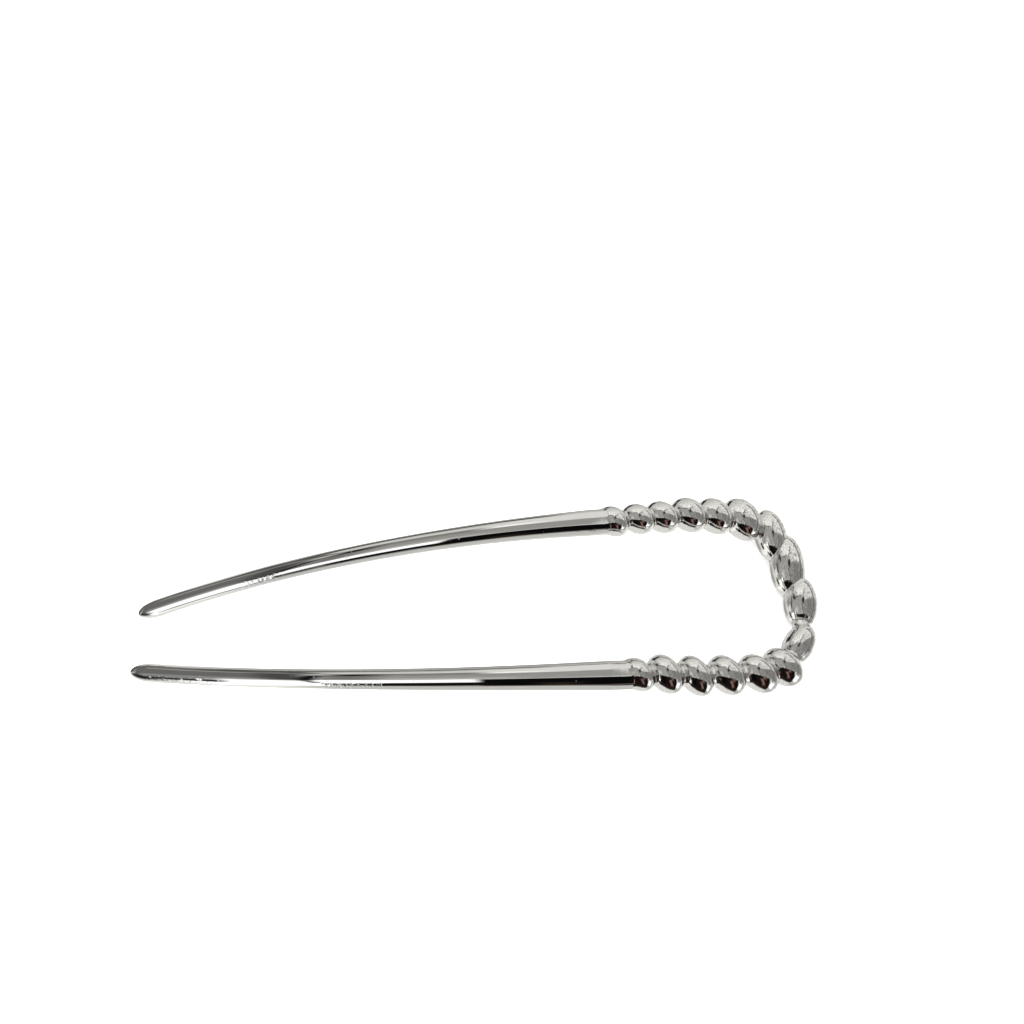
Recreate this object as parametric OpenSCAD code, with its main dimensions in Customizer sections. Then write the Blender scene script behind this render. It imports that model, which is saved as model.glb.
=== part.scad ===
// U-shaped hairpin, one solid metal casting.
// Two plain round prongs taper from a twisted bow to blunt tips.
// The bow is a row of sixteen oval lobes that lean and overlap like the turns of a twist.
// The pin lies on a flat surface at z = 0, arched like the head it is worn on.
// +X points to the bow, +Y to the left prong and +Z up. Sizes are in millimetres.

/* [Overall] */
// Length from the prong tips to the outside of the bow
pin_length = 125; // [110:1:140]
// Rise of the arch, from the straight line between its ends to its middle
arch_rise = 7.4; // [3:0.2:9]

/* [Prongs] */
// Distance between the middles of the two prong tips
tip_spacing = 10.3; // [8:0.1:16]
// How far a prong leans outward at its tip, in degrees
tip_splay = 11.1; // [8:0.1:14]
// How far a prong still leans outward where it meets the bow, in degrees
root_splay = 2; // [0:0.5:4]
// Thickness of a prong at its blunt tip
tip_d = 3.1; // [2.6:0.1:3.6]
// Thickness of a prong where it meets the bow
root_d = 4.9; // [4.5:0.1:5.1]
// How late a prong swells towards the bow, 1 being a plain cone
swell = 2.8; // [1:0.1:4]
// Length of a prong's round nose, half an ellipse in outline
nose_length = 4; // [1.6:0.2:6]

/* [Bow] */
// Thickness of the rod that runs through the lobes, at the bottom of the notches between them
core_d = 3.2; // [2.8:0.1:4.4]

/* [Smoothness] */
// Sides of the prongs and of the core
rod_sides = 14; // [12:2:18]
// Sides of a lobe
lobe_sides = 22; // [18:2:24]
// Rings along one prong, its nose apart
prong_rings = 16; // [10:1:20]

/* [Hidden] */

// The lobes of each side, from the prong to the middle of the bow. The sides aren't mirror images,
// because the twist has one hand all the way round.
// Columns: distance back from the outside of the bow, distance out from the middle line,
// long, short and upright size, how far the long size is turned from the Y direction,
// and how far its +Y end is then raised. The last two are in degrees.
BACK = 0;
OUT = 1;
LONG = 2;
SHORT = 3;
HIGH = 4;
TURN = 5;
RAISE = 6;
LEFT_LOBES = [
    [37.3, 14.15, 6.4, 5.1, 5.9, 47, 0],
    [32.4, 14.5, 6.7, 5.3, 6.1, 58, 0],
    [27.6, 14.8, 6.9, 5.5, 6.4, 51, 0],
    [22.1, 15.2, 7.5, 6.0, 6.5, 46, 0],
    [16.75, 14.95, 7.7, 6.1, 6.7, 37, 0],
    [11.05, 14.3, 9.0, 6.7, 6.9, 25, 0],
    [5.7, 10.8, 10.7, 5.8, 6.3, 8, 10],
    [3.8, 4.6, 12.4, 6.3, 6.5, -1, 12],
];
RIGHT_LOBES = [
    [37.3, 14.15, 6.4, 5.0, 6.1, 46, 0],
    [32.45, 14.35, 7.2, 5.4, 6.5, 32, 0],
    [27.1, 14.95, 7.4, 5.2, 6.3, 27, 0],
    [21.35, 15.15, 7.4, 5.6, 6.5, 32, 0],
    [15.25, 15.2, 7.6, 5.7, 6.3, 41, 0],
    [10.15, 14.3, 7.6, 5.7, 6.7, 39, 0],
    [5.75, 10.4, 8.4, 5.2, 5.4, -38, 15],
    [3.05, 2.7, 10.1, 5.9, 6.3, -6, 12],
];
LAST = len(LEFT_LOBES) - 1;

// A prong keeps its full thickness over this length before the middle of its first lobe
NECK = 5;

// Angles of the nose's ellipse at which the sweep has a ring, from the tip on
NOSE_ANGLES = [12, 26, 42, 60, 78];

bow_x = pin_length / 2;
tip_x = -pin_length / 2;
root_x = bow_x - LEFT_LOBES[0][BACK];
root_y = LEFT_LOBES[0][OUT];

// The pin rests on both noses and on the last lobes, where the arch starts and ends
tip_rest_x = tip_x + nose_length / 2;
bow_rest_x = bow_x - RIGHT_LOBES[LAST][BACK];
arch_middle_x = (bow_rest_x + tip_rest_x) / 2;
half_chord = (bow_rest_x - tip_rest_x) / 2;

// Height of the arch above its chord, and the slope there in degrees
function arch(x) = arch_rise * (1 - pow((x - arch_middle_x) / half_chord, 2));
function slope(x) = atan(-2 * arch_rise * (x - arch_middle_x) / pow(half_chord, 2));

// How far along its prong the nose has narrowed to the given angle of its ellipse
function nose_reach(angle) = nose_length * (1 - cos(angle));

// Height of the middle line where a nose rests: its deepest ring just meets the surface
tip_rest_z = max([for (angle = NOSE_ANGLES) tip_d / 2 * sin(angle) - arch(tip_x + nose_reach(angle))]);

// Half the upright extent of a lobe once it is raised, turned and tipped to the arch's slope
function rest_height(row) =
    let (
        raise = row[RAISE],
        turn = row[TURN],
        tip = slope(bow_x - row[BACK]),
        short_part = cos(turn) * sin(tip),
        long_part = sin(raise) * cos(tip) - cos(raise) * sin(turn) * sin(tip),
        high_part = cos(raise) * cos(tip) + sin(raise) * sin(turn) * sin(tip)
    )
    norm([row[SHORT] * short_part, row[LONG] * long_part, row[HIGH] * high_part]) / 2;
bow_rest_z = rest_height(RIGHT_LOBES[LAST]);

// Height of the middle of the metal
function chord(x) = tip_rest_z + (bow_rest_z - tip_rest_z) * (x - tip_rest_x) / (bow_rest_x - tip_rest_x);
function middle_z(x) = chord(x) + arch(x);

// Middle line of the left prong in plan, one cubic curve from the tip, t = 0, to the bow, t = 1
prong_run = root_x - tip_x;
handle_tip_y = tip_spacing / 2 + prong_run / 3 * tan(tip_splay);
handle_root_y = root_y - prong_run / 3 * tan(root_splay);
function prong_y(t) =
    pow(1 - t, 3) * tip_spacing / 2
    + 3 * t * pow(1 - t, 2) * handle_tip_y
    + 3 * pow(t, 2) * (1 - t) * handle_root_y
    + pow(t, 3) * root_y;
function prong_d(t) = tip_d + (root_d - tip_d) * pow(min(t / (1 - NECK / prong_run), 1), swell);

// A station of the sweep is its middle point and its thickness
function prong_station(t, d) =
    let (x = tip_x + t * prong_run)
    [[x, prong_y(t), middle_z(x)], d];
function nose_stations() = [
    for (angle = NOSE_ANGLES)
        prong_station(nose_reach(angle) / prong_run, tip_d * sin(angle))
];
function prong_stations() = [
    for (i = [0 : prong_rings])
        let (
            start = nose_length / prong_run,
            t = start + (1 - start) * i / prong_rings
        )
        prong_station(t, prong_d(t))
];

// Middle of a lobe: side is 1 on the left and -1 on the right
function lobe_middle(row, side) =
    let (x = bow_x - row[BACK])
    [x, side * row[OUT], middle_z(x)];
function mirrored(p) = [p[0], -p[1], p[2]];
function reversed(list) = [for (i = [len(list) - 1 : -1 : 0]) list[i]];

// Middles of all lobes round the bow, with a point of either prong before and after them
neck = prong_station(1 - NECK / prong_run, 0)[0];
KNOTS = concat(
    [neck],
    [for (row = LEFT_LOBES) lobe_middle(row, 1)],
    [for (row = reversed(RIGHT_LOBES)) lobe_middle(row, -1)],
    [mirrored(neck)]
);

// The core runs from the first lobe, where the left prong ends, to the one where the right prong
// ends. It follows a smooth curve through the lobes' middles, with one more ring between each two.
function between(i) = (9 * (KNOTS[i] + KNOTS[i + 1]) - (KNOTS[i - 1] + KNOTS[i + 2])) / 16;
function core_stations() = [
    for (i = [1 : len(KNOTS) - 3])
        for (half = [0 : 1])
            if (i > 1 || half == 1)
                [half == 0 ? KNOTS[i] : between(i), core_d]
];

left_prong = concat(nose_stations(), prong_stations());
STATIONS = concat(
    left_prong,
    core_stations(),
    [for (s = reversed(left_prong)) [mirrored(s[0]), s[1]]]
);

// One ring of the sweep: a circle square to the line through its neighbours
function unit(v) = v / norm(v);
function ring(stations, i) =
    let (
        before = stations[max(i - 1, 0)][0],
        after = stations[min(i + 1, len(stations) - 1)][0],
        along = unit(after - before),
        side = unit(cross([0, 0, 1], along)),
        up = cross(along, side)
    )
    [
        for (k = [0 : rod_sides - 1])
            let (angle = 360 * k / rod_sides)
            stations[i][0] + stations[i][1] / 2 * (cos(angle) * side + sin(angle) * up)
    ];

// A solid swept through all stations, closed by a flat face at either end
module swept(stations) {
    count = len(stations);
    points = [for (i = [0 : count - 1]) each ring(stations, i)];
    sides = [
        for (i = [0 : count - 2])
            for (k = [0 : rod_sides - 1])
                let (next = (k + 1) % rod_sides)
                [i * rod_sides + k, (i + 1) * rod_sides + k, (i + 1) * rod_sides + next, i * rod_sides + next]
    ];
    first = [for (k = [0 : rod_sides - 1]) k];
    last = [for (k = [rod_sides - 1 : -1 : 0]) (count - 1) * rod_sides + k];
    polyhedron(points = points, faces = concat([first], sides, [last]), convexity = 10);
}

// One oval lobe, raised at its +Y end, turned in plan and then tipped to the arch's slope
module lobe(row, side) {
    translate(lobe_middle(row, side))
        rotate([0, -slope(bow_x - row[BACK]), 0])
            rotate([0, 0, row[TURN]])
                rotate([row[RAISE], 0, 0])
                    hull()
                        scale([row[SHORT], row[LONG], row[HIGH]])
                            rotate([90, 0, 0])
                                sphere(d = 1, $fn = lobe_sides);
}

// The two prongs and the core between them, as one bent rod
module rod() {
    swept(STATIONS);
}

// The sixteen lobes of the twisted bow
module twisted_bow() {
    for (row = LEFT_LOBES)
        lobe(row, 1);
    for (row = RIGHT_LOBES)
        lobe(row, -1);
}

// The whole casting
module hairpin() {
    color("silver")
        union() {
            rod();
            twisted_bow();
        }
}

hairpin();
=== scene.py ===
import math
from collections import namedtuple

import bpy
import numpy as np
from mathutils import Matrix, Vector


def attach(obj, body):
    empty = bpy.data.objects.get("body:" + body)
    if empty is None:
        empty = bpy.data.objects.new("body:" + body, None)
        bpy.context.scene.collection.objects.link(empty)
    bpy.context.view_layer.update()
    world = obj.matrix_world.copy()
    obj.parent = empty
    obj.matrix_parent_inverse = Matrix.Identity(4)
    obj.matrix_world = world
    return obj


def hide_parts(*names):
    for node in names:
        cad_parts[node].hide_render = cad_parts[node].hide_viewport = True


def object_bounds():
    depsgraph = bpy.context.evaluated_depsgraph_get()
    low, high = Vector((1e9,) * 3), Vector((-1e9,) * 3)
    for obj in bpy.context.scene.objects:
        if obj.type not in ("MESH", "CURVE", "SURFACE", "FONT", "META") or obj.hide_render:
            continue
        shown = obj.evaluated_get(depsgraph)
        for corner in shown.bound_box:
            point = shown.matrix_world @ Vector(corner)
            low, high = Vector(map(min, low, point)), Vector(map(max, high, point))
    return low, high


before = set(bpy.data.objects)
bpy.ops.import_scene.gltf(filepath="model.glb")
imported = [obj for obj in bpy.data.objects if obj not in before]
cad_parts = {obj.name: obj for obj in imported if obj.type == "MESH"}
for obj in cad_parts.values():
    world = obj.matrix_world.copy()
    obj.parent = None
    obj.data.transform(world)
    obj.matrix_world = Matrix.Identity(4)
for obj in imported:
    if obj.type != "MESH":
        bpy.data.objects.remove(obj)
cad_low, cad_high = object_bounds()

# The looks of a U-shaped hairpin, around its packed casting.
# The casting is faceted, so a smooth plated skin of the same form stands for it. Lengths are in
# millimetres and turn into metres only where a mesh, a material or the camera is made.
MM = 0.001

# Sizes of the casting, the length rounded to the whole millimetre that it was designed with
PIN_LENGTH = round((cad_high.x - cad_low.x) / MM)
ARCH_RISE = 7.4
TIP_SPACING = 10.3
TIP_SPLAY = math.radians(11.1)
ROOT_SPLAY = math.radians(2)
TIP_R = 3.1 / 2
ROOT_R = 4.9 / 2
SWELL = 2.8
NOSE_LENGTH = 4
CORE_R = 3.2 / 2
# A prong keeps its full thickness over this length before the middle of its first lobe
NECK = 5

# The lobes of each side, from the prong to the middle of the bow: distance back from the outside of the
# bow, distance out from the middle line, long, short and upright size, how far the long size is turned
# from the Y direction, and how far its +Y end is then raised, both in degrees
Lobe = namedtuple("Lobe", "back out long short high turn raised")
LEFT_LOBES = (
    Lobe(37.3, 14.15, 6.4, 5.1, 5.9, 47, 0),
    Lobe(32.4, 14.5, 6.7, 5.3, 6.1, 58, 0),
    Lobe(27.6, 14.8, 6.9, 5.5, 6.4, 51, 0),
    Lobe(22.1, 15.2, 7.5, 6.0, 6.5, 46, 0),
    Lobe(16.75, 14.95, 7.7, 6.1, 6.7, 37, 0),
    Lobe(11.05, 14.3, 9.0, 6.7, 6.9, 25, 0),
    Lobe(5.7, 10.8, 10.7, 5.8, 6.3, 8, 10),
    Lobe(3.8, 4.6, 12.4, 6.3, 6.5, -1, 12),
)
RIGHT_LOBES = (
    Lobe(37.3, 14.15, 6.4, 5.0, 6.1, 46, 0),
    Lobe(32.45, 14.35, 7.2, 5.4, 6.5, 32, 0),
    Lobe(27.1, 14.95, 7.4, 5.2, 6.3, 27, 0),
    Lobe(21.35, 15.15, 7.4, 5.6, 6.5, 32, 0),
    Lobe(15.25, 15.2, 7.6, 5.7, 6.3, 41, 0),
    Lobe(10.15, 14.3, 7.6, 5.7, 6.7, 39, 0),
    Lobe(5.75, 10.4, 8.4, 5.2, 5.4, -38, 15),
    Lobe(3.05, 2.7, 10.1, 5.9, 6.3, -6, 12),
)

# The skin: points round it, spacing of its rings, and how softly the lobes melt into each other
SKIN_SIDES = 96
PRONG_STEP = 0.8
BOW_STEP = 0.16
MELT = 0.1
# The bow's middle line is first worked out at steps of this share of the way from lobe to lobe
LOBE_STEP = 0.02
# The melted forms reach this far from the middle line at most, and this far along the prongs
SKIN_REACH = 5.6
MELT_RUN = 5
# The points walk in from there in so many steps, each this share of the distance that is left
WALK_STEPS = 70
WALK_SHARE = 0.7
# From the first lobe's middle the rod thins to its core over this length
CORE_FADE = 2.5
# The skin is parted in the notch before the first lobe, this far before that lobe's middle
PART_BEFORE = 1.6
# Angles of the nose's ellipse at which the skin has a ring
NOSE_ANGLES = np.radians(np.arange(4, 90, 5))

BOW_X = PIN_LENGTH / 2
TIP_X = -PIN_LENGTH / 2
ROOT_X = BOW_X - LEFT_LOBES[0].back
ROOT_Y = LEFT_LOBES[0].out
PRONG_RUN = ROOT_X - TIP_X

# The pin rests on both noses and on the last lobe of either side, where the arch starts and ends
TIP_REST_X = TIP_X + NOSE_LENGTH / 2
BOW_REST_X = BOW_X - RIGHT_LOBES[-1].back
ARCH_MIDDLE = (BOW_REST_X + TIP_REST_X) / 2
HALF_CHORD = (BOW_REST_X - TIP_REST_X) / 2


def arch(x):
    return ARCH_RISE * (1 - ((x - ARCH_MIDDLE) / HALF_CHORD) ** 2)


def slope(x):
    return math.atan(-2 * ARCH_RISE * (x - ARCH_MIDDLE) / HALF_CHORD ** 2)


def nose_rest_height():
    """Height of the middle line where a nose rests on the surface."""
    reach = NOSE_LENGTH * (1 - np.cos(NOSE_ANGLES))
    return np.max(TIP_R * np.sin(NOSE_ANGLES) - arch(TIP_X + reach))


def lobe_axes(lobe):
    """Short, long and upright axes of a lobe as columns."""
    raised = Matrix.Rotation(math.radians(lobe.raised), 3, "X")
    turned = Matrix.Rotation(math.radians(lobe.turn), 3, "Z")
    tipped = Matrix.Rotation(-slope(BOW_X - lobe.back), 3, "Y")
    return np.array(tipped @ turned @ raised)


def lobe_half(lobe):
    return np.array([lobe.short, lobe.long, lobe.high]) / 2


def lobe_rest_height(lobe):
    """Half the upright extent of a lobe."""
    return np.linalg.norm(lobe_axes(lobe)[2] * lobe_half(lobe))


TIP_REST_Z = nose_rest_height()
BOW_REST_Z = lobe_rest_height(RIGHT_LOBES[-1])


def middle_z(x):
    """Height of the middle of the metal."""
    share = (x - TIP_REST_X) / (BOW_REST_X - TIP_REST_X)
    return TIP_REST_Z + (BOW_REST_Z - TIP_REST_Z) * share + arch(x)


def prong_point(reach):
    """Middle line of the left prong, at distances along X from its tip."""
    t = reach / PRONG_RUN
    y = (
        (1 - t) ** 3 * TIP_SPACING / 2
        + 3 * t * (1 - t) ** 2 * (TIP_SPACING / 2 + PRONG_RUN / 3 * math.tan(TIP_SPLAY))
        + 3 * t ** 2 * (1 - t) * (ROOT_Y - PRONG_RUN / 3 * math.tan(ROOT_SPLAY))
        + t ** 3 * ROOT_Y
    )
    x = TIP_X + reach
    return np.stack([x, y, middle_z(x)], axis=-1)


def prong_radius(reach):
    """Radius of a prong, its nose rounded as half an ellipse."""
    plain = TIP_R + (ROOT_R - TIP_R) * np.minimum(reach / (PRONG_RUN - NECK), 1) ** SWELL
    short = np.clip(1 - reach / NOSE_LENGTH, 0, 1)
    return plain * np.sqrt(1 - short ** 2)


def smooth(low, high, x):
    """Goes from 0 at low to 1 at high with level ends."""
    t = np.clip((x - low) / (high - low), 0, 1)
    return t * t * (3 - 2 * t)


MIRROR = np.array([1, -1, 1])


def lobe_middle(lobe, side):
    """Middle of a lobe: side is 1 on the left and -1 on the right."""
    x = BOW_X - lobe.back
    return np.array([x, side * lobe.out, middle_z(x)])


def bow_line():
    """Middle line of the bow: a smooth curve through the lobes' middles, at even steps."""
    before = prong_point(PRONG_RUN - NECK)
    left = [lobe_middle(lobe, 1) for lobe in LEFT_LOBES]
    right = [lobe_middle(lobe, -1) for lobe in reversed(RIGHT_LOBES)]
    knots = np.array([before, *left, *right, before * MIRROR])
    points = []
    for a, b, c, d in zip(knots, knots[1:], knots[2:], knots[3:]):
        for t in np.arange(0, 1, LOBE_STEP):
            bend = 2 * a - 5 * b + 4 * c - d
            twist = 3 * (b - c) + d - a
            points.append(b + t / 2 * (c - a + t * (bend + t * twist)))
    points = np.array(points + [knots[-2]])
    along = np.concatenate([[0], np.cumsum(np.linalg.norm(np.diff(points, axis=0), axis=1))])
    even = np.linspace(0, along[-1], int(along[-1] / BOW_STEP) + 1)
    return np.stack([np.interp(even, along, points[:, i]) for i in range(3)], axis=1)


def skin_line():
    """Middle line of the whole pin, the radius of its rod, and how many rings come before the melted
    stretch and before the place where the skin is parted."""
    nose = NOSE_LENGTH * (1 - np.cos(NOSE_ANGLES))
    plain = np.arange(NOSE_LENGTH, PRONG_RUN - MELT_RUN, PRONG_STEP)
    fine = np.arange(PRONG_RUN - MELT_RUN, PRONG_RUN - BOW_STEP / 2, BOW_STEP)
    reach = np.concatenate([nose, plain, fine])
    prong = prong_point(reach)
    bow = bow_line()
    line = np.concatenate([prong, bow, (prong * MIRROR)[::-1]])
    thick = prong_radius(reach)
    from_end = np.minimum(np.arange(len(bow)), np.arange(len(bow))[::-1]) * BOW_STEP
    core = ROOT_R + (CORE_R - ROOT_R) * smooth(0, CORE_FADE, from_end)
    radius = np.concatenate([thick, core, thick[::-1]])
    return line, radius, len(nose) + len(plain), int(np.sum(reach < PRONG_RUN - PART_BEFORE))


def unit(v):
    return v / np.linalg.norm(v, axis=-1, keepdims=True)


LobeForm = namedtuple("LobeForm", "middle axes half")


def lobe_forms():
    """Each lobe's middle, its short, long and upright axes as columns, and its half sizes."""
    forms = []
    for side, lobes in ((1, LEFT_LOBES), (-1, RIGHT_LOBES)):
        for lobe in lobes:
            forms.append(LobeForm(lobe_middle(lobe, side), lobe_axes(lobe), lobe_half(lobe)))
    return forms


def melted(points, rod_distance, rod_normal, forms):
    """Distance from points to the melted surface, and the surface's normal there."""
    distances = [rod_distance]
    normals = [rod_normal]
    for form in forms:
        local = (points - form.middle) @ form.axes
        scaled = local / form.half
        steep = scaled / form.half
        size = np.linalg.norm(scaled, axis=-1)
        slant = np.linalg.norm(steep, axis=-1)
        distances.append(size * (size - 1) / slant)
        normals.append(unit(steep @ form.axes.T))
    distances = np.array(distances)
    nearest = distances.min(axis=0)
    weights = np.exp((nearest - distances) / MELT)
    normal = unit((weights[..., None] * np.array(normals)).sum(axis=0))
    return nearest - MELT * np.log(weights.sum(axis=0)), normal


def skin_rings():
    """Rings of points on the surface and their normals, found by walking in towards the middle line."""
    line, radius, plain, part = skin_line()
    along = unit(np.gradient(line, axis=0))
    side = unit(np.cross([0, 0, 1], along))
    up = np.cross(along, side)
    run = np.concatenate([[0], np.cumsum(np.linalg.norm(np.diff(line, axis=0), axis=1))])
    taper = np.gradient(radius, run)
    angle = np.linspace(0, 2 * math.pi, SKIN_SIDES, endpoint=False)
    out = np.cos(angle)[:, None] * side[:, None] + np.sin(angle)[:, None] * up[:, None]
    rod_normal = unit(out - taper[:, None, None] * along[:, None])
    points = line[:, None] + out * radius[:, None, None]
    normals = rod_normal.copy()
    forms = lobe_forms()
    bow = slice(plain, len(line) - plain)
    walk = np.full(points[bow].shape[:2], float(SKIN_REACH))
    for _ in range(WALK_STEPS):
        places = line[bow, None] + out[bow] * walk[..., None]
        gap, _ = melted(places, walk - radius[bow, None], rod_normal[bow], forms)
        walk -= WALK_SHARE * gap
    places = line[bow, None] + out[bow] * walk[..., None]
    points[bow] = places
    normals[bow] = melted(places, walk - radius[bow, None], rod_normal[bow], forms)[1]
    return points, normals, part


def tube(name, rings, normals):
    """A closed tube through rings of points, with the true normals of its form."""
    count = len(rings)
    ends = np.array([rings[0].mean(axis=0), rings[-1].mean(axis=0)])
    vertices = np.concatenate([rings.reshape(-1, 3), ends]) * MM
    faces = []
    for i in range(count - 1):
        for k in range(SKIN_SIDES):
            n = (k + 1) % SKIN_SIDES
            low = i * SKIN_SIDES
            high = low + SKIN_SIDES
            faces.append((low + k, low + n, high + n, high + k))
    first, last = count * SKIN_SIDES, (count - 1) * SKIN_SIDES
    for k in range(SKIN_SIDES):
        n = (k + 1) % SKIN_SIDES
        faces.append((first, n, k))
        faces.append((first + 1, last + k, last + n))
    mesh = bpy.data.meshes.new(name)
    mesh.from_pydata(vertices.tolist(), [], faces)
    mesh.shade_smooth()
    back = unit(ends[0] - rings[1].mean(axis=0))
    ahead = unit(ends[1] - rings[-2].mean(axis=0))
    all_normals = np.concatenate([normals.reshape(-1, 3), [back, ahead]])
    mesh.normals_split_custom_set_from_vertices(all_normals.tolist())
    piece = bpy.data.objects.new(name, mesh)
    bpy.context.scene.collection.objects.link(piece)
    return piece


def skin_pieces():
    """The smooth plated skin of the left prong, the bow and the right prong."""
    rings, normals, part = skin_rings()
    count = len(rings)
    spans = {
        "left_prong_skin": slice(0, part + 1),
        "bow_skin": slice(part, count - part),
        "right_prong_skin": slice(count - part - 1, count),
    }
    return {name: tube(name, rings[span], normals[span]) for name, span in spans.items()}


def plug(tree, value, socket):
    """Links a node's output to a socket, or sets the socket to a number."""
    if isinstance(value, bpy.types.NodeSocket):
        tree.links.new(value, socket)
    else:
        socket.default_value = value


def math_node(tree, operation, a, b=0.0):
    node = tree.nodes.new("ShaderNodeMath")
    node.operation = operation
    plug(tree, a, node.inputs[0])
    plug(tree, b, node.inputs[1])
    return node.outputs[0]


def vector_math(tree, operation, a, b=(0, 0, 0)):
    node = tree.nodes.new("ShaderNodeVectorMath")
    node.operation = operation
    plug(tree, a, node.inputs[0])
    plug(tree, b, node.inputs[1])
    return node.outputs["Vector"]


def scaled(tree, vector, factor):
    node = tree.nodes.new("ShaderNodeVectorMath")
    node.operation = "SCALE"
    plug(tree, vector, node.inputs[0])
    plug(tree, factor, node.inputs["Scale"])
    return node.outputs["Vector"]


def noise(tree, places, size, detail, output="Fac"):
    """Noise from 0 to 1 in blotches about as far apart as size."""
    node = tree.nodes.new("ShaderNodeTexNoise")
    node.inputs["Scale"].default_value = 1 / size
    node.inputs["Detail"].default_value = detail
    tree.links.new(places, node.inputs["Vector"])
    return node.outputs[output]


def soft_step(tree, value, low, high, start, end):
    """Goes from start to end as the value goes from low to high."""
    node = tree.nodes.new("ShaderNodeMapRange")
    node.interpolation_type = "SMOOTHSTEP"
    plug(tree, value, node.inputs["Value"])
    plug(tree, low, node.inputs["From Min"])
    plug(tree, high, node.inputs["From Max"])
    node.inputs["To Min"].default_value = start
    node.inputs["To Max"].default_value = end
    return node.outputs["Result"]


def parts(tree, vector):
    """X, Y and Z of a vector."""
    node = tree.nodes.new("ShaderNodeSeparateXYZ")
    tree.links.new(vector, node.inputs[0])
    return node.outputs


def mixed(tree, share, below, above):
    """Colour that goes from below to above as the share goes from 0 to 1."""
    node = tree.nodes.new("ShaderNodeMix")
    node.data_type = "RGBA"
    plug(tree, share, node.inputs["Factor"])
    plug(tree, below, node.inputs["A"])
    plug(tree, above, node.inputs["B"])
    return node.outputs["Result"]


# Share of the light that the plating gives back, a slightly warm grey
PLATING = (0.74, 0.73, 0.705)
# Its roughness varies in scuffs of this size, from one value of their noise to the other
SCUFF_SIZE = 1.5
SCUFF_NOISE = (0.45, 0.75)
ROUGHNESS = (0.03, 0.07)
# The polished casting is faintly rippled, more so on the lobes, which a wheel reaches less well.
# The prongs have this share of the ripples' height.
RIPPLE_SIZE = 0.8
RIPPLE_DEPTH = 0.018
RIPPLE_ON_PRONGS = 0.1
# Small pits that the plating didn't fill sink in from one value of their noise to the other
PIT_SIZE = 0.6
PIT_DEPTH = 0.02
PIT_NOISE = (0.75, 0.81)
# Stretches of the prongs, for the pits and for the painted dark line: middle and half length along X, and 1
# on the left and -1 on the right.
# A stretch fades out from this share of its half length on. Only what faces -Y is taken, from one value
# of the normal's Y to the other.
Stretch = namedtuple("Stretch", "middle half side")
STRETCH_FADE = 0.6
STRETCH_FACING = (-0.55, -0.3)
# The pitted stretches, what they add to the pits' noise, and how many times as high as on the lobes their
# ripples are
PITTED_STRETCHES = (
    Stretch(-52, 8, -1),
    Stretch(-22.5, 6.5, -1),
    Stretch(-39.3, 4, 1),
)
PITTED_NOISE = 0.25
PITTED_RIPPLE = 3
# A dark broken line painted nearly black into the plating's colour along the right prong's tip. It follows
# one value of the normal's Z and fades out from one distance from it to the other. Its dashes are about this
# long, and they fade in from one value of their noise to the other.
DARK_LINE_STRETCH = Stretch(-53, 11, -1)
DARK_LINE_NORMAL = 0.79
DARK_LINE_FADE = (0.045, 0.135)
DASH_SIZE = 1.2
DASH_NOISE = (0.33, 0.41)
DARK_LINE_COLOUR = (0.01, 0.01, 0.01)


def on_stretches(tree, places, normal, stretches):
    """1 on the given stretches where they face -Y, 0 elsewhere."""
    x, y = parts(tree, places)[:2]
    share = 0
    for stretch in stretches:
        away = math_node(tree, "ABSOLUTE", math_node(tree, "SUBTRACT", x, stretch.middle * MM))
        along = soft_step(tree, away, STRETCH_FADE * stretch.half * MM, stretch.half * MM, 1, 0)
        across = math_node(tree, "GREATER_THAN", math_node(tree, "MULTIPLY", y, stretch.side), 0)
        share = math_node(tree, "ADD", share, math_node(tree, "MULTIPLY", along, across))
    facing = soft_step(tree, parts(tree, normal)[1], *STRETCH_FACING, 1, 0)
    return math_node(tree, "MULTIPLY", share, facing)


def dark_line(tree, places, normal):
    """1 on the dark broken line painted into the plating's colour, 0 elsewhere."""
    along = on_stretches(tree, places, normal, [DARK_LINE_STRETCH])
    away = math_node(tree, "ABSOLUTE", math_node(tree, "SUBTRACT", parts(tree, normal)[2], DARK_LINE_NORMAL))
    narrow = soft_step(tree, away, *DARK_LINE_FADE, 1, 0)
    dashes = soft_step(tree, noise(tree, places, DASH_SIZE * MM, 1), *DASH_NOISE, 0, 1)
    return math_node(tree, "MULTIPLY", math_node(tree, "MULTIPLY", along, narrow), dashes)


def plating_height(tree, places, normal):
    """Height of the ripples less the depth of the pits, in metres."""
    pitted = on_stretches(tree, places, normal, PITTED_STRETCHES)
    x = parts(tree, places)[0]
    plain = soft_step(tree, x, (ROOT_X - NECK) * MM, ROOT_X * MM, RIPPLE_ON_PRONGS, 1)
    rippled = math_node(tree, "ADD", plain, math_node(tree, "MULTIPLY", pitted, PITTED_RIPPLE))
    ripples = math_node(tree, "MULTIPLY", noise(tree, places, RIPPLE_SIZE * MM, 1), rippled)
    more = math_node(tree, "MULTIPLY", pitted, PITTED_NOISE)
    grain = math_node(tree, "ADD", noise(tree, places, PIT_SIZE * MM, 1), more)
    pits = soft_step(tree, grain, *PIT_NOISE, 0, 1)
    high = math_node(tree, "MULTIPLY", ripples, RIPPLE_DEPTH * MM)
    low = math_node(tree, "MULTIPLY", pits, PIT_DEPTH * MM)
    return math_node(tree, "SUBTRACT", high, low)


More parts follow.
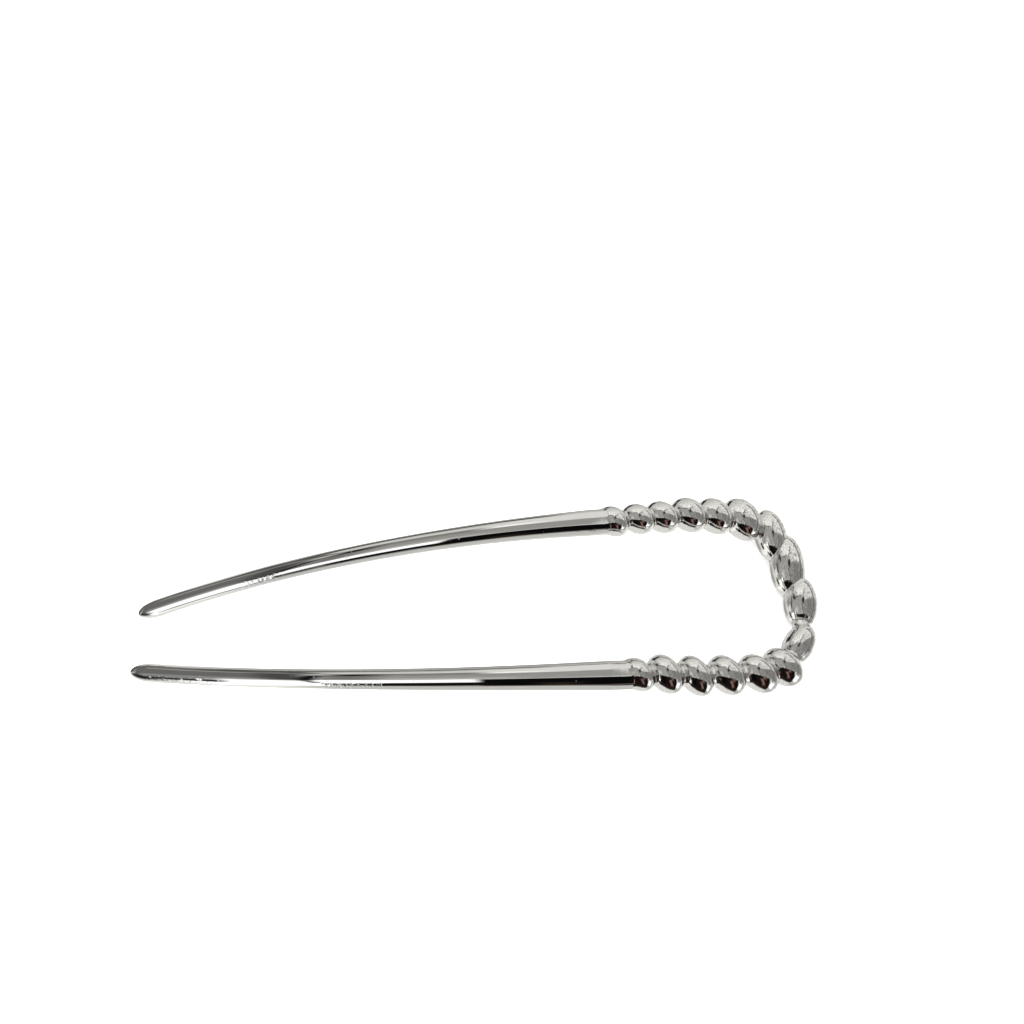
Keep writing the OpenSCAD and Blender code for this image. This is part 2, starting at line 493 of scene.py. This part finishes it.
def plating_material():
    """Mirror-bright plating over a polished casting: scuffs, faint ripples, small pits and a dark broken
    line painted into its colour.
    """
    material = bpy.data.materials.new("bright_plating")
    material.use_nodes = True
    tree = material.node_tree
    shader = tree.nodes["Principled BSDF"]
    shader.inputs["Metallic"].default_value = 1
    coordinates = tree.nodes.new("ShaderNodeTexCoord")
    places = coordinates.outputs["Object"]
    normal = coordinates.outputs["Normal"]
    # The plating's colour, with a dark broken line painted nearly black along the right prong's tip
    colour = mixed(tree, dark_line(tree, places, normal), (*PLATING, 1), (*DARK_LINE_COLOUR, 1))
    tree.links.new(colour, shader.inputs["Base Color"])
    scuffs = noise(tree, places, SCUFF_SIZE * MM, 3)
    tree.links.new(soft_step(tree, scuffs, *SCUFF_NOISE, *ROUGHNESS), shader.inputs["Roughness"])
    bump = tree.nodes.new("ShaderNodeBump")
    bump.inputs["Strength"].default_value = 1
    bump.inputs["Distance"].default_value = 1
    tree.links.new(plating_height(tree, places, normal), bump.inputs["Height"])
    tree.links.new(bump.outputs["Normal"], shader.inputs["Normal"])
    return material


# What the plating mirrors. A light tent carries it as a chart with one degree to a unit, the zenith at its
# middle, +X to the right and +Y up, so its horizon is a circle of radius 90. A patch's middle and half
# sizes are in degrees, or for an arc its heading from +X and its distance from the zenith. Greys are as
# seen in the plating, 1 being white.
Patch = namedtuple("Patch", "name middle half turn soft grey kind")
PLAIN, RAGGED, ARC = range(3)
WHITE = (1.06, 1.06, 1.06)
BLACK = (0.035, 0.035, 0.04)
TENT_GREY = 0.84


def even(grey):
    """A grey as slightly warm as the plating shows it."""
    return (grey, grey * 0.992, grey * 0.965)


BOW_PATCHES = (
    Patch("far wall", (0, 95), (120, 35), 0, 12, even(0.75), PLAIN),
    Patch("far glow", (-5, 32), (26, 12), -12, 9, even(0.90), PLAIN),
    Patch("right wall", (84, 0), (14, 50), 0, 8, even(0.75), PLAIN),
    Patch("right pane", (112, 10), (14, 60), 0, 10, even(0.94), PLAIN),
    Patch("right wall's near side", (-30, 88), (12, 20), 0, 6, even(0.68), ARC),
    Patch("left wall", (134, 64), (12, 22), 0, 6, even(0.68), ARC),
    Patch("left wall's dim part", (150, 74), (9, 18), 0, 5, even(0.50), ARC),
    Patch("left ceiling", (-51.5, -4), (52, 34), -14, 2, even(0.60), RAGGED),
    Patch("left ceiling's glow", (-50, -22), (10, 12), 0, 8, even(0.78), PLAIN),
    Patch("right ceiling", (44, -18), (46, 20), 0, 2.5, even(0.53), RAGGED),
    Patch("dim corner", (48, -12), (14, 12), 0, 10, even(0.46), PLAIN),
    Patch("pale wedge", (40, 11), (19, 7), 0, 4, even(0.78), PLAIN),
    Patch("ceiling's rim", (-44, 29), (46, 1.6), -14, 1.2, even(0.26), RAGGED),
    Patch("ceiling's joint", (1, -14), (1.2, 22), 0, 1.2, even(0.34), RAGGED),
    Patch("left hook", (-53, 34), (7, 12), 10, 4, even(0.20), PLAIN),
    Patch("knob", (10, 3), (6, 9), -40, 3, even(0.16), RAGGED),
    Patch("slanted bar", (22, 21), (17, 2.5), 38, 2, even(0.40), RAGGED),
    Patch("dark card", (-5, -68), (53, 31), 0, 2, BLACK, RAGGED),
    Patch("dark card's corner", (-54, -34), (8, 6), 0, 3, even(0.34), RAGGED),
    Patch("dark card's middle", (8, -68), (30, 28), 0, 8, (0.09, 0.065, 0.055), PLAIN),
    Patch("brown card", (13, -66), (6, 16), 24, 5, (0.50, 0.39, 0.36), RAGGED),
    Patch("brown card's top", (23, -43), (6, 6), 10, 4, (0.42, 0.34, 0.31), RAGGED),
    Patch("near foot", (-93, 98), (33, 10), 0, 6, (0.13, 0.10, 0.09), ARC),
    Patch("near right", (68, -86), (20, 16), 0, 5, even(0.70), PLAIN),
    Patch("right window", (60, -63), (11, 16), -14, 2.5, WHITE, RAGGED),
    Patch("left window", (-80, -50), (22, 24), 0, 2.5, WHITE, RAGGED),
    Patch("left floor", (-147, 122), (12, 42), 0, 6, even(0.97), ARC),
    Patch("left bar", (-131, 103), (8, 6), 0, 3, even(0.12), ARC),
    Patch("right rail", (2, 74), (40, 3.5), 0, 3, even(0.42), ARC),
    Patch("far sill", (70, 102), (12, 10), 0, 6, even(0.64), ARC),
    Patch("far post", (100, 100), (22, 10), 0, 3, even(0.03), ARC),
    Patch("far post's foot", (112, 114), (10, 10), 0, 5, even(0.2), ARC),
    Patch("left line", (160, 91), (20, 5), 0, 4, even(0.26), ARC),
    Patch("left line's dim part", (152, 118), (12, 16), 0, 6, even(0.55), ARC),
    Patch("left line's foot", (-168, 125), (11, 9), 0, 4, even(0.08), ARC),
    Patch("far foot", (100, 164), (80, 10), 0, 8, even(0.6), ARC),
)
PRONG_PATCHES = (
    Patch("far wall", (-10, 84), (60, 26), 0, 10, even(0.70), PLAIN),
    Patch("far pane", (20, 58), (20, 18), 0, 8, even(0.84), PLAIN),
    Patch("far streak", (101, 86), (24, 10), 0, 5, even(0.28), ARC),
    Patch("far foot", (95, 136), (45, 30), 0, 12, even(0.6), ARC),
    Patch("left wall", (-64, 16), (22, 36), 0, 4, even(0.40), PLAIN),
    Patch("left wall's low part", (-68, -14), (20, 5), 0, 6, even(0.54), PLAIN),
    Patch("left slat", (-58, 35), (15, 2), 22, 4, even(0.68), PLAIN),
    Patch("ceiling", (-5, 2), (36, 23), 0, 3, even(0.57), PLAIN),
    Patch("ceiling's near side", (-14, -13), (16, 5), 0, 6, even(0.71), PLAIN),
    Patch("ceiling's left side", (-33, 2), (5, 16), 0, 6, even(0.43), PLAIN),
    Patch("left wall's edge", (-46, 8), (5, 30), 0, 4, even(0.28), PLAIN),
    Patch("ceiling's edge", (-10, 32), (20, 12), 0, 6, even(0.49), PLAIN),
    Patch("far glow", (6, 35), (6, 8), 0, 5, even(0.98), PLAIN),
    Patch("hook", (-31, 27), (5, 10), 0, 5, even(0.05), PLAIN),
    Patch("hook's arm", (-44, 50), (3, 14), 30, 4, even(0.22), PLAIN),
    Patch("left wall's top", (-56, 62), (9, 6), 0, 6, even(0.25), PLAIN),
    Patch("left post", (170, 100), (14, 14), 0, 8, even(0.30), ARC),
    Patch("far right post", (133, 80), (12, 9), 0, 5, even(0.30), ARC),
    Patch("near wall", (-90, 112), (40, 30), 0, 4, (0.74, 0.735, 0.72), ARC),
    Patch("left floor", (-143, 102), (10, 18), 0, 5, even(0.93), ARC),
    Patch("dark card", (22, -54), (29.5, 29.5), -3, 1.5, BLACK, PLAIN),
    Patch("dark band", (-20, -62), (16, 15), 0, 3, (0.06, 0.055, 0.05), PLAIN),
    Patch("dark band's end", (-41, -61), (6, 10), 0, 4, even(0.18), PLAIN),
    Patch("brown card", (12, -66), (4, 10), 0, 5, (0.16, 0.13, 0.11), PLAIN),
    Patch("near edge", (-90, 82), (34, 3), 0, 4, (0.40, 0.37, 0.34), ARC),
    Patch("middle window", (-25.5, -33), (18, 12), -2, 2, WHITE, PLAIN),
    Patch("left window", (-66, -47), (20, 22), -14, 3, WHITE, PLAIN),
    Patch("left bar", (-165, 92), (12, 9), 0, 6, even(0.22), ARC),
    Patch("post", (-41.5, -3), (1.8, 22), -7, 1.5, even(0.07), PLAIN),
    Patch("post's foot", (-45.5, -42), (1.2, 20), -3, 1, even(0.4), PLAIN),
)


def light(grey):
    """Light that shows as the given grey once the plating has mirrored it."""
    linear = [((g + 0.055) / 1.055) ** 2.4 for g in grey]
    return [value / share for value, share in zip(linear, PLATING)] + [1]


def patch_group():
    """Node group that lays one soft-edged patch over the colour below it."""
    group = bpy.data.node_groups.new("patch", "ShaderNodeTree")
    sockets = {
        "Below": "NodeSocketColor",
        "Chart": "NodeSocketVector",
        "Middle": "NodeSocketVector",
        "Half": "NodeSocketVector",
        "Turn": "NodeSocketFloat",
        "Soft": "NodeSocketFloat",
        "Light": "NodeSocketColor",
    }
    for name, kind in sockets.items():
        group.interface.new_socket(name, in_out="INPUT", socket_type=kind)
    group.interface.new_socket("Result", in_out="OUTPUT", socket_type="NodeSocketColor")
    nodes, links = group.nodes, group.links
    source = nodes.new("NodeGroupInput").outputs
    sink = nodes.new("NodeGroupOutput").inputs
    shift = vector_math(group, "SUBTRACT", source["Chart"], source["Middle"])
    rotate = nodes.new("ShaderNodeVectorRotate")
    rotate.rotation_type = "Z_AXIS"
    links.new(shift, rotate.inputs["Vector"])
    links.new(source["Turn"], rotate.inputs["Angle"])
    folded = vector_math(group, "ABSOLUTE", rotate.outputs[0])
    past = parts(group, vector_math(group, "SUBTRACT", folded, source["Half"]))
    farther = math_node(group, "MAXIMUM", past["X"], past["Y"])
    inner = math_node(group, "MULTIPLY", source["Soft"], -1)
    share = soft_step(group, farther, inner, source["Soft"], 1, 0)
    links.new(mixed(group, share, source["Below"], source["Light"]), sink["Result"])
    return group


# The ragged patches' edges wander within this many degrees, with teeth about so many degrees wide
RAGGED_REACH = 14
TOOTH = 3.5


def charts(tree):
    """Chart places of a point on the tent by kind of patch: plain, ragged and for arcs."""
    coordinates = tree.nodes.new("ShaderNodeTexCoord").outputs["Object"]
    direction = vector_math(tree, "NORMALIZE", coordinates)
    x, y, z = parts(tree, direction)
    zenith = math_node(tree, "DEGREES", math_node(tree, "ARCCOSINE", z))
    flat = vector_math(tree, "NORMALIZE", vector_math(tree, "MULTIPLY", direction, (1, 1, 0)))
    plain = scaled(tree, flat, zenith)
    wander = vector_math(tree, "SUBTRACT", noise(tree, plain, TOOTH, 1, "Color"), (0.5, 0.5, 0.5))
    ragged = vector_math(tree, "ADD", plain, scaled(tree, wander, RAGGED_REACH))
    heading = math_node(tree, "DEGREES", math_node(tree, "ARCTAN2", y, x))
    arc = tree.nodes.new("ShaderNodeCombineXYZ")
    tree.links.new(heading, arc.inputs["X"])
    tree.links.new(zenith, arc.inputs["Y"])
    return {PLAIN: plain, RAGGED: ragged, ARC: arc.outputs[0]}


# The tents' light has mottles of this size in degrees, from one value of their noise to the other
MOTTLE_SIZE = 5
MOTTLE_NOISE = (0.2, 0.8)


def tent_material(name, patches, mottle, group, see_through):
    """Light of a tent, patch by patch, mottled by a share of its strength."""
    material = bpy.data.materials.new(name)
    material.use_nodes = True
    material.cycles.emission_sampling = "NONE"
    tree = material.node_tree
    tree.nodes.clear()
    chart = charts(tree)
    colour = tuple(light(even(TENT_GREY)))
    for patch in patches:
        node = tree.nodes.new("ShaderNodeGroup")
        node.node_tree = group
        node.label = patch.name
        plug(tree, colour, node.inputs["Below"])
        plug(tree, chart[patch.kind], node.inputs["Chart"])
        node.inputs["Middle"].default_value = (*patch.middle, 0)
        node.inputs["Half"].default_value = (*patch.half, 0)
        node.inputs["Turn"].default_value = math.radians(-patch.turn)
        node.inputs["Soft"].default_value = patch.soft
        node.inputs["Light"].default_value = light(patch.grey)
        colour = node.outputs["Result"]
    emission = tree.nodes.new("ShaderNodeEmission")
    tree.links.new(colour, emission.inputs["Color"])
    mottles = noise(tree, chart[PLAIN], MOTTLE_SIZE, 1)
    strength = soft_step(tree, mottles, *MOTTLE_NOISE, 1 - mottle, 1 + mottle)
    tree.links.new(strength, emission.inputs["Strength"])
    glow = emission.outputs[0]
    if see_through:
        both = tree.nodes.new("ShaderNodeAddShader")
        tree.links.new(glow, both.inputs[0])
        tree.links.new(tree.nodes.new("ShaderNodeBsdfTransparent").outputs[0], both.inputs[1])
        glow = both.outputs[0]
    output = tree.nodes.new("ShaderNodeOutputMaterial")
    tree.links.new(glow, output.inputs["Surface"])
    return material


TENT_SIDES = 96


def tent(name, radius, material, receivers):
    """A round light tent that shows only in mirror reflections, and only in those of the receivers."""
    bpy.ops.mesh.primitive_uv_sphere_add(segments=TENT_SIDES, ring_count=TENT_SIDES // 2, radius=radius * MM)
    dome = bpy.context.object
    dome.name = name
    dome.data.materials.append(material)
    dome.visible_camera = False
    dome.visible_diffuse = False
    dome.visible_transmission = False
    dome.visible_volume_scatter = False
    dome.visible_shadow = False
    collection = bpy.data.collections.new(name + "_receivers")
    for piece in receivers:
        collection.objects.link(piece)
    dome.light_linking.receiver_collection = collection


FLOOR_SIDE = 4000
FLOOR_WHITE = 0.92


def floor():
    """A plain white floor at the height that the pin rests on."""
    bpy.ops.mesh.primitive_plane_add(size=FLOOR_SIDE * MM)
    plane = bpy.context.object
    plane.name = "floor"
    material = bpy.data.materials.new("white_floor")
    material.use_nodes = True
    shader = material.node_tree.nodes["Principled BSDF"]
    shader.inputs["Base Color"].default_value = (FLOOR_WHITE,) * 3 + (1,)
    shader.inputs["Roughness"].default_value = 1
    shader.inputs["Specular IOR Level"].default_value = 0
    plane.data.materials.append(material)
    # The plating mirrors the tents' lower half instead, which carries the floor's light
    plane.visible_glossy = False


# Even light from all round, well over white on the floor
SKY_LIGHT = 3


def sky():
    world = bpy.data.worlds.new("studio")
    bpy.context.scene.world = world
    world.use_nodes = True
    background = world.node_tree.nodes["Background"]
    background.inputs["Color"].default_value = (1, 1, 1, 1)
    background.inputs["Strength"].default_value = SKY_LIGHT


# The photograph's camera: where it stands, the point on the floor that it looks at, its tilt, and how near
# and how far it sees
CAMERA_PLACE = (-2.8, -32.1, 122.5)
CAMERA_AIM = (7.22, 21.13, 0)
CAMERA_TILT = math.radians(6.15)
CAMERA_LENS = 23.46
CAMERA_SENSOR = 36
NEAREST = 10
FARTHEST = 10000


def camera():
    data = bpy.data.cameras.new("camera")
    data.lens = CAMERA_LENS
    data.sensor_width = CAMERA_SENSOR
    data.clip_start = NEAREST * MM
    data.clip_end = FARTHEST * MM
    eye = bpy.data.objects.new("camera", data)
    place = Vector(CAMERA_PLACE) * MM
    aim = Vector(CAMERA_AIM) * MM
    turn = (aim - place).to_track_quat("-Z", "Y").to_matrix().to_4x4()
    eye.matrix_world = Matrix.Translation(place) @ turn @ Matrix.Rotation(CAMERA_TILT, 4, "Z")
    bpy.context.scene.collection.objects.link(eye)
    bpy.context.scene.camera = eye


# What the prongs mirror stands nearer than what the bow mirrors, as it shifts more from prong to prong.
# The bow looks out through the prongs' tent. Its lobes show far more of the mottled light.
PRONG_TENT_RADIUS = 110
BOW_TENT_RADIUS = 160
PRONG_MOTTLE = 0.08
BOW_MOTTLE = 0.5

camera()
sky()
floor()
skins = skin_pieces()
plating = plating_material()
for skin in skins.values():
    skin.data.materials.append(plating)
    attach(skin, "root")
    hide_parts("hairpin")
group = patch_group()
prong_light = tent_material("prong_tent_light", PRONG_PATCHES, PRONG_MOTTLE, group, see_through=True)
bow_light = tent_material("bow_tent_light", BOW_PATCHES, BOW_MOTTLE, group, see_through=False)
prongs = [skins["left_prong_skin"], skins["right_prong_skin"]]
tent("prong_tent", PRONG_TENT_RADIUS, prong_light, prongs)
tent("bow_tent", BOW_TENT_RADIUS, bow_light, [skins["bow_skin"]])
bpy.context.scene.view_settings.view_transform = "Standard"
